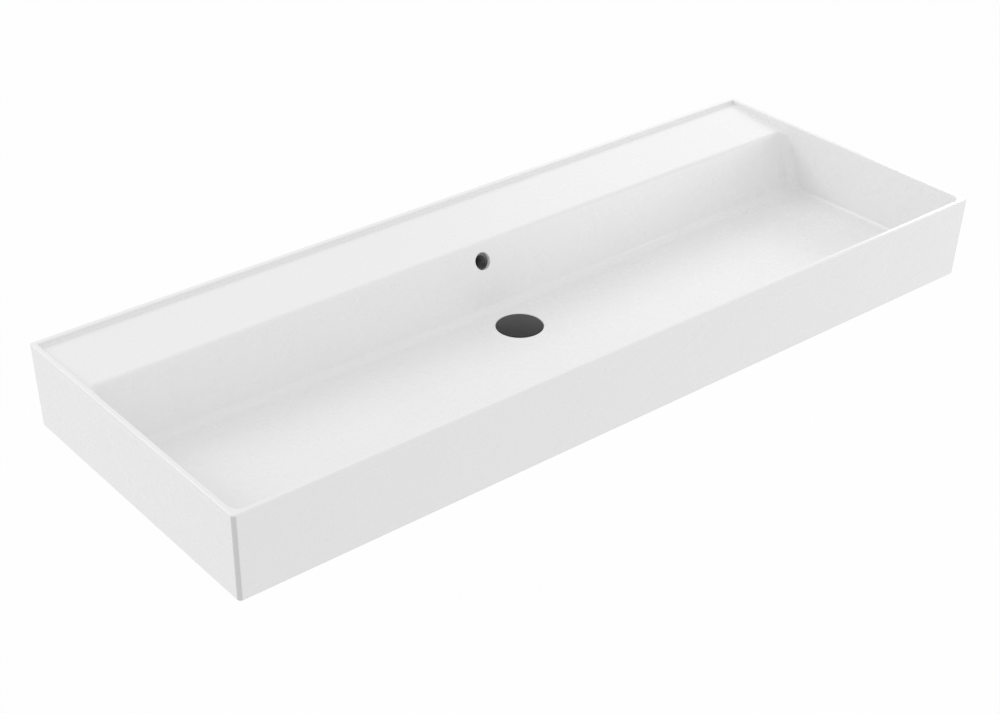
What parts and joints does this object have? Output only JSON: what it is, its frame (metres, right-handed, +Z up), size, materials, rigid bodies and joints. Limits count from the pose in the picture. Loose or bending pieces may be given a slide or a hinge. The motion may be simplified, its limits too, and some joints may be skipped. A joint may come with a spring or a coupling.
{
  "type": "washbasin",
  "caption": "Long wall-hung washbasin of white glazed ceramic, with a low rear deck, an overflow hole in the bowl's rear wall and a push-open waste in the floor",
  "frame": {"origin": "On the wall plane, midway between the two wall bolts, which is 58 mm above the ceramic's underside.", "axes": "+X runs to the right seen from the front, along the basin's length. +Y points into the wall. +Z is up."},
  "size_m": [1.2, 0.5319, 0.1948],
  "materials": {
    "white_glaze": "gloss white glaze",
    "cover_grey": "satin dark grey coating",
    "plated_brass": "bright nickel plating",
    "steel": "bright zinc plating",
    "black_plastic": "moulded, fine matt",
    "pale_plastic": "moulded, smooth",
    "seal_rubber": "moulded, smooth"
  },
  "bodies": {
    "washbasin": {"basin": "white_glaze", "waste_body": "plated_brass", "flange_seal": "seal_rubber", "plug_cartridge": "pale_plastic", "plug_spring": "steel", "overflow_collar": "black_plastic", "collar_upper_seal": "seal_rubber", "collar_lower_seal": "seal_rubber", "slide_washer": "pale_plastic", "back_nut": "black_plastic", "overflow_elbow": "black_plastic", "overflow_seal": "seal_rubber", "overflow_pipe": "pale_plastic", "union_nuts": "black_plastic", "union_cones": "seal_rubber", "hanger_bolts": "steel", "fixing_sleeves": "pale_plastic", "fixing_washers": "steel", "fixing_nuts": "steel"},
    "plug": {"waste_cap": "cover_grey", "cap_seal": "seal_rubber", "plug_stem": "steel"}
  },
  "joints": [
    {"name": "plug_slide", "type": "slide", "parent": "washbasin", "child": "plug", "axis": [0, 0, 1], "range_m": [0, 0.008], "deforming": ["plug_spring"]}
  ]
}
